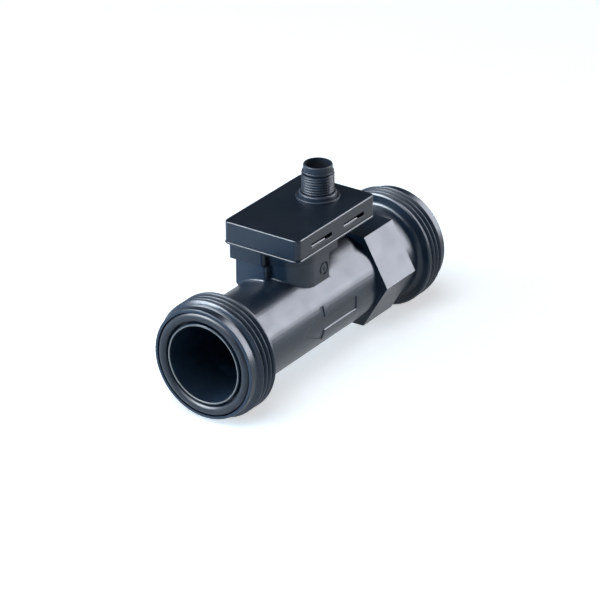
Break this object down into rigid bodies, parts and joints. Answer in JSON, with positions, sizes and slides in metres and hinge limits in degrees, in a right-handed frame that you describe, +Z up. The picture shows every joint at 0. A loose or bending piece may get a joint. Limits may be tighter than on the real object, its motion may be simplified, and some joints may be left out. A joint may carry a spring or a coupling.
{
  "type": "vortex flow sensor",
  "caption": "In-line vortex flow sensor: plastic measuring tube with threaded pipe ends and spanner hexagon, bluff body and sensor paddle inside, snap-fit housing with M12 connector.",
  "frame": {"origin": "centre of the inlet end face, on the axis of the measuring tube", "axes": "+X along the flow, from inlet to outlet; +Z up through the sensor pedestal to the connector; +Y to the left when looking downstream"},
  "size_m": [0.1263, 0.0448, 0.073],
  "materials": {
    "tube_plastic": "satin glass-filled moulding, very dark blue-grey",
    "housing_plastic": "fine eroded texture, black-grey",
    "connector_plastic": "satin moulding, black-grey",
    "seal_rubber": "satin black elastomer",
    "probe_plastic": "natural fluoropolymer",
    "piezo_ceramic": "fired ceramic",
    "potting_resin": "cast resin",
    "lead_copper": "tinned copper wire",
    "screw_steel": "zinc plated",
    "board_laminate": "solder mask",
    "chip_resin": "moulded epoxy",
    "capacitor_can": "drawn can",
    "nut_brass": "nickel plated",
    "contact_gold": "gold plated"
  },
  "bodies": {
    "root": {"measuring_tube": "tube_plastic", "bluff_body": "tube_plastic", "end_seals": "seal_rubber", "sensor_probe": "probe_plastic", "piezo_element": "piezo_ceramic", "probe_potting": "potting_resin", "probe_leads": "lead_copper", "probe_o_ring": "seal_rubber", "probe_gasket": "seal_rubber", "housing_base": "housing_plastic", "base_screws": "screw_steel", "housing_cover": "housing_plastic", "cover_seal": "seal_rubber", "circuit_board": "board_laminate", "processor_chip": "chip_resin", "amplifier_chip": "chip_resin", "voltage_regulator": "chip_resin", "filter_capacitors": "capacitor_can", "connector_shell": "connector_plastic", "connector_o_ring": "seal_rubber", "connector_nut": "nut_brass", "contact_carrier": "connector_plastic", "contact_pins": "contact_gold"}
  },
  "joints": []
}
